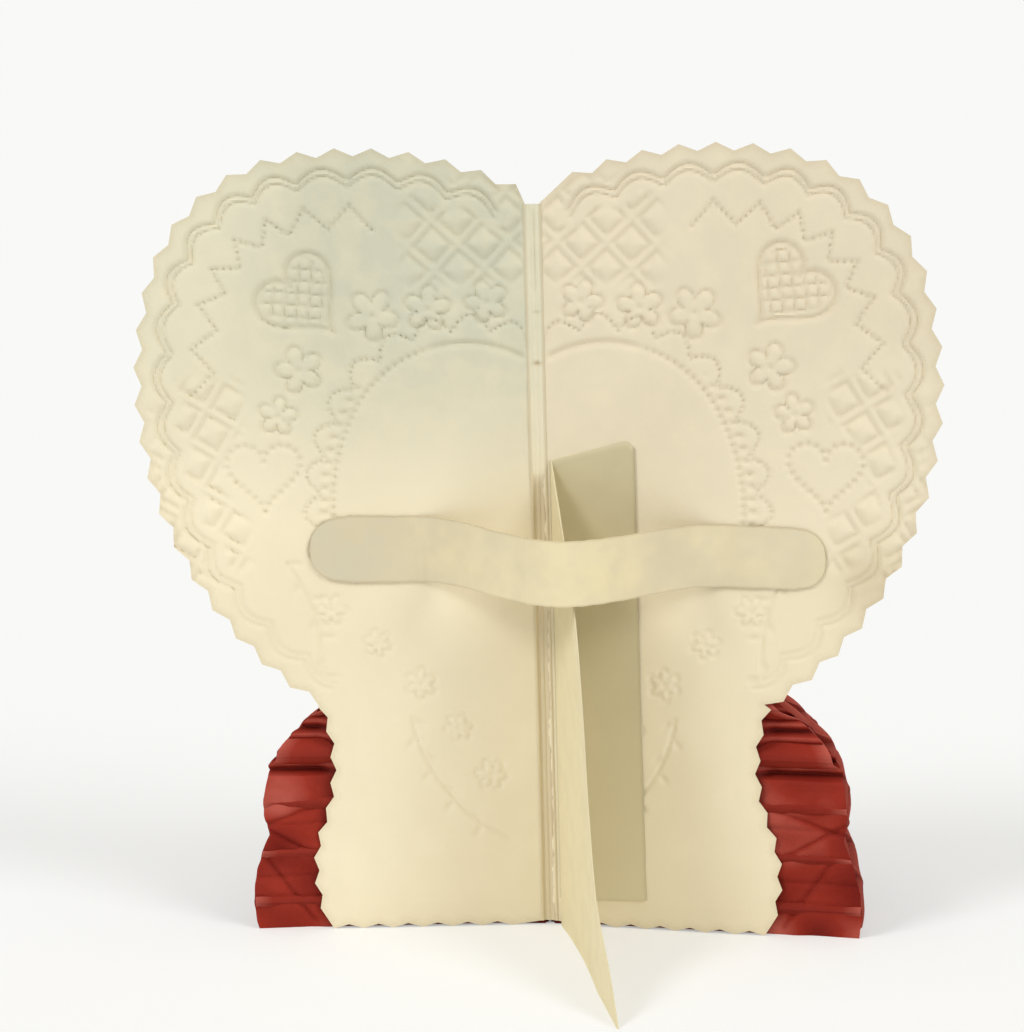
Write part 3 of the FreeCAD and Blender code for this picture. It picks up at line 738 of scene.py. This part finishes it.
def makeLeg():
    leg = addGrid("easelLeg", 60, 190)
    points = readPoints(leg)
    z = (points[:, 1] + 0.5) ** 1.15 * STAND["top"]
    edge = curved(STAND["foot"], 6)
    reach = np.interp(z, edge[:, 1], STAND["reach"] - edge[:, 0]) + 0.1 * noise1(z, 41, 3.0)
    reach = reach - 1.0 * step(z, STAND["top"] - 1.5, STAND["top"])
    r = (points[:, 0] + 0.5) * reach
    bow = STAND["bow"] * np.sin(np.pi * np.clip(r / STAND["bowReach"], 0, 1))
    bow = bow * (1 - step(z, 40, 120)) * step(r, 0.0, 8.0)
    yaw = STAND["yaw"]
    creaseX, creaseY = STAND["crease"]
    # Painted light: the leg's lit face is tinted paler all over; painted shade darkens the fold crease along
    # its inner edge.
    writeAttribute(leg, "tint", np.full(len(r), STAND["legPaintedLight"]))
    writeAttribute(leg, "shadeAndBlotches", 0.3 * ridge(r, 0.8))
    writeAttribute(leg, "toned", 0.22 * ridge(r - reach, 0.6))
    placePoints(leg, STAND["line"] + creaseX + r * math.sin(yaw) + bow * math.cos(yaw),
                bow * math.sin(yaw) + creaseY - r * math.cos(yaw), z)
    thicken(leg, STAND["thickness"] * MM)
    smooth(leg, 50)
    leg.data.materials.append(materials["standCard"])
    return leg


standPieces = [makeTab(), makeLeg()]
for piece in standPieces:
    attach(piece, "root")
    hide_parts("easel_stand")
print("stand made", [triangleCount(piece) for piece in standPieces])

# Tissue base: leaves that zigzag between alternate glue lines
TISSUE = {
    "leafAngle": math.radians(6.93), "cellHalf": 7.3, "tall": 82.8, "leaves": 28, "thickness": 0.16,
    "baseStart": (88.1, 0.0), "baseHeading": 80.0, "base": ((44.0, 38.0),),
    "domeHeading": 70.0, "dome": ((25.0, 60.0), (80.0, 58.0)), "sideways": 2.6, "inside": 0.9,
    "core": 1.4, "front": 0.25, "firstLine": 1.08, "fullness": 0.92, "opening": 0.485, "wobble": 0.004,
    "scallop": 1.1, "fray": 0.35,
}
# End sheets: the bands, the folds as their ends, and the ribs of the upper part
SHEET = {
    "ribPitch": 4.2, "ribOut": 1.2, "fray": 0.3, "upper": (45.0, 47.0), "beyond": (60.0, 66.0),
    "hollow": (2.4, 2.6), "puff": 0.9, "puffTall": 46.0, "bands": (9.3, 15.5, 23.0, 31.0), "bandDeep": 0.5,
    "folds": (((62.0, 38.0), (90.0, 28.0)), ((64.0, 20.0), (88.0, 34.0)), ((68.0, 2.0), (82.0, 22.0))),
    "foldWide": 0.7, "foldDeep": 0.8, "depth": 1.4, "deepest": 1.6,
}
lowerProfile = arcRoute(TISSUE["baseStart"], TISSUE["baseHeading"], TISSUE["base"], 2.0)
upperProfile = arcRoute(lowerProfile[-1], TISSUE["domeHeading"], TISSUE["dome"], 2.0)
PROFILE = np.concatenate([lowerProfile, upperProfile[1:]])


def ringRadius(z):
    return np.interp(z, PROFILE[:, 1], PROFILE[:, 0]) - TISSUE["inside"]


def zigzag(z):
    level = (z - TISSUE["cellHalf"] * TISSUE["firstLine"]) / (2 * TISSUE["cellHalf"])
    wave = 1 - 4 * np.abs(level - np.round(level))
    return np.sin(wave * np.pi / 2 * TISSUE["fullness"])


def makeLeaf(index):
    leaf = addGrid("tissueLeaf%02d" % index, 14, 84)
    points = readPoints(leaf)
    out = (points[:, 0] + 0.5) ** 0.8
    z = (points[:, 1] + 0.5) * TISSUE["tall"]
    mean = TISSUE["leafAngle"] * (index + 0.5) - CARD["fold"]
    scallop = TISSUE["scallop"] * np.abs(np.sin(np.pi * z / TISSUE["cellHalf"] + 0.4))
    scallop = scallop * step(z, 44, 54) * (1 - step(z, 76, 82))
    fray = TISSUE["fray"] * noise1(z, 50 + index, 3.5)
    reach = ringRadius(z) + TISSUE["sideways"] * math.cos(mean) + scallop + fray
    r = TISSUE["core"] + (reach - TISSUE["core"]) * out
    turn = (-1 if index % 2 == 0 else 1) * TISSUE["leafAngle"] * TISSUE["opening"] * zigzag(z)
    wobble = TISSUE["wobble"] * noise1(z + index * 7, 90 + index, 9.0) * out
    angle = np.clip(mean + turn + wobble, 0.002 - CARD["fold"], np.pi + CARD["fold"] - 0.002)
    x, y = r * np.cos(angle), TISSUE["front"] + r * np.sin(angle)
    # Painted highlight on each leaf's outer rim, and painted shade deepening towards the core between the
    # leaves.
    writeAttribute(leaf, "tint", 0.9 * step(out, 0.95, 1.0))
    writeAttribute(leaf, "shadeAndBlotches", np.clip(1.15 - out * 1.2, 0, 1))
    writeAttribute(leaf, "toned", np.clip(0.35 * np.abs(zigzag(z)) ** 6, 0, 1))
    placePoints(leaf, x, y, np.clip(z, 0.05, TISSUE["tall"]))
    return leaf


def makeEndSheet(side):
    sheet = addGrid("tissueEnd", 84, 150)
    points = readPoints(sheet)
    out = (points[:, 0] + 0.5) ** 0.8
    z = (points[:, 1] + 0.5) * TISSUE["tall"]
    upper = step(z, *SHEET["upper"])
    rib = np.abs(np.sin(np.pi * z / SHEET["ribPitch"]))
    reach = ringRadius(z) + TISSUE["sideways"] * side + SHEET["ribOut"] * rib * upper
    reach = reach + SHEET["fray"] * noise1(z, 70 + side, 2.6)
    r = TISSUE["core"] + (reach - TISSUE["core"]) * out
    beyond = step(r, *SHEET["beyond"])
    hollow = upper * (SHEET["hollow"][0] + SHEET["hollow"][1] * (1 - rib))
    puff = SHEET["puff"] * np.sin(np.pi * np.clip(z / SHEET["puffTall"], 0, 1))
    for band in SHEET["bands"]:
        puff = puff - SHEET["bandDeep"] * ridge(z - band - 0.6 * noise1(r, 75, 8.0), 0.8)
    crumple = 0.6 * noise2(r, z, 71 + side, 7.0) + 0.3 * np.abs(noise2(r - 0.7 * z, z, 79 + side, 4.0))
    folds = 0.0
    for ends in SHEET["folds"]:
        folds = folds + line(r, z, ends, SHEET["foldWide"])
    crumple = crumple - SHEET["foldDeep"] * folds
    bulge = np.clip(puff + crumple, -0.6, SHEET["deepest"]) * (1 - upper)
    depth = SHEET["depth"] + beyond * (hollow - bulge + 0.4 * crumple * upper)
    along = r - CARD["spineHalf"]
    fold = CARD["fold"]
    # Painted light and shade: sheen bands and blotches, lighter bulges and darker dips following the
    # crumples, bright rib crests and a darker upper part; the hollows between the ribs and the inner part
    # are darkened in colour.
    sheen = 0.9 * noise2(r, z, 83 + side, 13.0) + 0.5 * ridge(z - 38.0, 7.0) + 0.4 * ridge(z, 9.0) - 0.15
    tint = (sheen + 0.35 * crumple) * (1 - upper) + (0.8 * rib ** 6 - 0.3) * upper
    writeAttribute(sheet, "tint", np.clip(tint, -1, 1))
    writeAttribute(sheet, "shadeAndBlotches", np.clip(0.9 * upper * (1 - rib) + 0.5 * (1 - beyond), 0, 1))
    writeAttribute(sheet, "toned", 0.7 * upper * (1 - rib) ** 2)
    placePoints(sheet, (CARD["spineHalf"] + along * math.cos(fold) + depth * math.sin(fold)) * side,
                depth * math.cos(fold) - along * math.sin(fold), np.clip(z, 0.05, TISSUE["tall"]))
    return sheet


def makeTissue(side):
    half = TISSUE["leaves"] // 2
    first = 0 if side > 0 else half
    parts = [makeLeaf(index) for index in range(first, first + half)] + [makeEndSheet(side)]
    deselect()
    for part in parts:
        part.select_set(True)
    bpy.context.view_layer.objects.active = parts[0]
    bpy.ops.object.join()
    tissue = bpy.context.object
    tissue.name = "tissueRight" if side > 0 else "tissueLeft"
    thicken(tissue, TISSUE["thickness"] * MM)
    smooth(tissue, 35)
    tissue.data.materials.append(materials["redTissue"])
    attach(tissue, "root")
    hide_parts("tissue_right" if side > 0 else "tissue_left")
    return tissue


print("tissue made", [triangleCount(makeTissue(side)) for side in (1, -1)])

# Floor, light and camera
STUDIO = {
    "floorSize": 60, "floor": (0.965, 0.965, 0.955), "paleness": 0.4, "pale": (0.955, 0.955, 0.925),
    "world": 0.56,
    "lamps": (("leftLight", (-0.7, -0.6, 0.85), 1.05, 20.0), ("rightLight", (0.8, -0.5, 0.7), 1.0, 24.0)),
}
deselect()
bpy.ops.mesh.primitive_plane_add(size=STUDIO["floorSize"])
floor = bpy.context.object
floor.name = "floor"
floorMaterial, floorTree = newMaterial("floorPaper")
floorShader = addNode(floorTree, "ShaderNodeBsdfPrincipled",
                      {"Base Color": (*STUDIO["floor"], 1.0), "Roughness": 0.9, "Specular IOR Level": 0.0})
floorPale = addNode(floorTree, "ShaderNodeEmission", {"Color": (*STUDIO["pale"], 1.0)})
floorMix = addNode(floorTree, "ShaderNodeMixShader")
cameraRay = addNode(floorTree, "ShaderNodeLightPath").outputs["Is Camera Ray"]
floorTree.links.new(mathNode(floorTree, "MULTIPLY", cameraRay, STUDIO["paleness"]), floorMix.inputs[0])
floorTree.links.new(floorShader.outputs[0], floorMix.inputs[1])
floorTree.links.new(floorPale.outputs[0], floorMix.inputs[2])
floorOutput = addNode(floorTree, "ShaderNodeOutputMaterial")
floorTree.links.new(floorMix.outputs[0], floorOutput.inputs["Surface"])
floor.data.materials.append(floorMaterial)

world = bpy.data.worlds.new("studio")
bpy.context.scene.world = world
world.use_nodes = True
world.node_tree.nodes["Background"].inputs[0].default_value = (1.0, 1.0, 1.0, 1.0)
world.node_tree.nodes["Background"].inputs[1].default_value = STUDIO["world"]


def addSun(name, origin, strength, angle):
    deselect()
    bpy.ops.object.light_add(type="SUN")
    lamp = bpy.context.object
    lamp.name = name
    lamp.data.energy = strength
    lamp.data.angle = angle
    lamp.rotation_euler = Vector(origin).to_track_quat("Z", "Y").to_euler()
    return lamp


for name, origin, strength, angle in STUDIO["lamps"]:
    addSun(name, origin, strength, math.radians(angle))

VIEW = {
    "distance": 0.900, "height": 0.287, "offset": -0.0084,
    "yaw": math.radians(7.94), "pitch": math.radians(10.5), "roll": math.radians(1.51),
    "lens": 113.0, "sensor": 36.0, "farthest": 200.0,
}
deselect()
bpy.ops.object.camera_add()
camera = bpy.context.object
camera.data.lens = VIEW["lens"]
camera.data.sensor_width = VIEW["sensor"]
camera.data.clip_end = VIEW["farthest"]
c, s = math.cos(VIEW["yaw"]), math.sin(VIEW["yaw"])
across = Vector((c, s, 0.0)) * VIEW["offset"]
place = across + Vector((s * VIEW["distance"], -c * VIEW["distance"], VIEW["height"]))
level = Vector((-s, c, 0.0))
forward = level * math.cos(VIEW["pitch"]) - Vector((0, 0, 1)) * math.sin(VIEW["pitch"])
right = Vector((c, s, 0.0))
up = right.cross(forward)
axisX = right * math.cos(VIEW["roll"]) - up * math.sin(VIEW["roll"])
axisY = right * math.sin(VIEW["roll"]) + up * math.cos(VIEW["roll"])
turnMatrix = Matrix((axisX, axisY, -forward)).transposed().to_4x4()
camera.matrix_world = Matrix.Translation(place) @ turnMatrix
bpy.context.scene.camera = camera
bpy.context.scene.view_settings.view_transform = "Standard"
